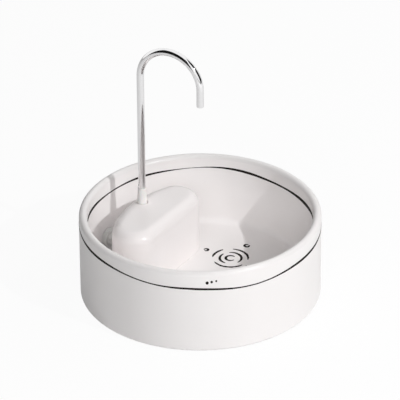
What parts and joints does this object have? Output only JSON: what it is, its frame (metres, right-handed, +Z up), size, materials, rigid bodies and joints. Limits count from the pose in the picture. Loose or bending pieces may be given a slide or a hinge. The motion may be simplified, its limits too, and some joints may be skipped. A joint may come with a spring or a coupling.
{
  "type": "pet water fountain",
  "caption": "Round glazed pet fountain: a low bowl, a rounded cover over a small submersible pump, and a swan-neck tap that lifts out and swings over the water.",
  "frame": {"origin": "on the bowl's axis, at the surface the fountain stands on", "axes": "+Z up along the bowl's axis, +Y towards the pump, the tap and the power inlet at the back, +X to the right as seen from the front"},
  "size_m": [0.23, 0.23, 0.2445],
  "materials": {
    "glaze_white": "gloss white glaze",
    "chrome_tube": "polished",
    "silicone_white": "soft satin silicone",
    "silicone_grey": "soft matte silicone",
    "seal_black": "matte rubber",
    "pump_plastic": "fine moulded grain",
    "white_plastic": "smooth moulded",
    "gate_blue": "smooth moulded",
    "potting": "cast resin",
    "core_steel": "stamped laminations",
    "winding": "enamelled copper wire",
    "magnet": "sintered ferrite",
    "shaft_ceramic": "ground ceramic",
    "contact_metal": "plated contact",
    "lead_jacket": "satin cable jacket",
    "carbon": "granular carbon",
    "felt": "filter felt",
    "sponge": "open-cell foam"
  },
  "bodies": {
    "base": {"bowl": "glaze_white", "foot_ring": "silicone_grey", "tap_socket": "white_plastic", "tap_o_ring": "seal_black", "riser_hose": "silicone_white", "pump_housing": "pump_plastic", "potting_resin": "potting", "stator_core": "core_steel", "coil_bobbin": "white_plastic", "stator_coil": "winding", "rotor_shaft": "shaft_ceramic", "shaft_bushes": "seal_black", "chamber_seal": "seal_black", "pump_chamber": "pump_plastic", "intake_cover": "pump_plastic", "suction_feet": "silicone_white", "lead_boot": "lead_jacket", "pump_lead": "lead_jacket", "filter_tray": "white_plastic", "cartridge_frame": "white_plastic", "filter_carbon": "carbon", "filter_felt": "felt", "intake_sponge": "sponge", "inlet_body": "white_plastic", "inlet_contacts": "contact_metal", "inlet_seal": "silicone_white", "inlet_nut": "white_plastic"},
    "cover": {"pump_cover": "glaze_white"},
    "tap_ferrule": {"tap_sleeve": "silicone_white"},
    "tap": {"tap_tube": "chrome_tube"},
    "rotor": {"rotor_magnet": "magnet", "impeller": "white_plastic"},
    "gate": {"flow_gate": "gate_blue"}
  },
  "joints": [
    {"name": "cover_lift", "type": "slide", "parent": "base", "child": "cover", "axis": [0, 0, 1], "range_m": [0, 0.09]},
    {"name": "tap_lift", "type": "slide", "parent": "base", "child": "tap_ferrule", "axis": [0, 0, 1], "range_m": [0, 0.04]},
    {"name": "tap_swivel", "type": "hinge", "parent": "tap_ferrule", "child": "tap", "pos_m": [0.005, 0.0688, 0.0726], "axis": [0, 0, 1], "range_deg": [-90, 90]},
    {"name": "rotor_spin", "type": "hinge", "parent": "base", "child": "rotor", "pos_m": [-0.002, 0.06, 0.029], "axis": [1, 0, 0], "continuous": true},
    {"name": "gate_turn", "type": "hinge", "parent": "base", "child": "gate", "pos_m": [0.014, 0.06, 0.029], "axis": [1, 0, 0], "range_deg": [0, 60]}
  ]
}
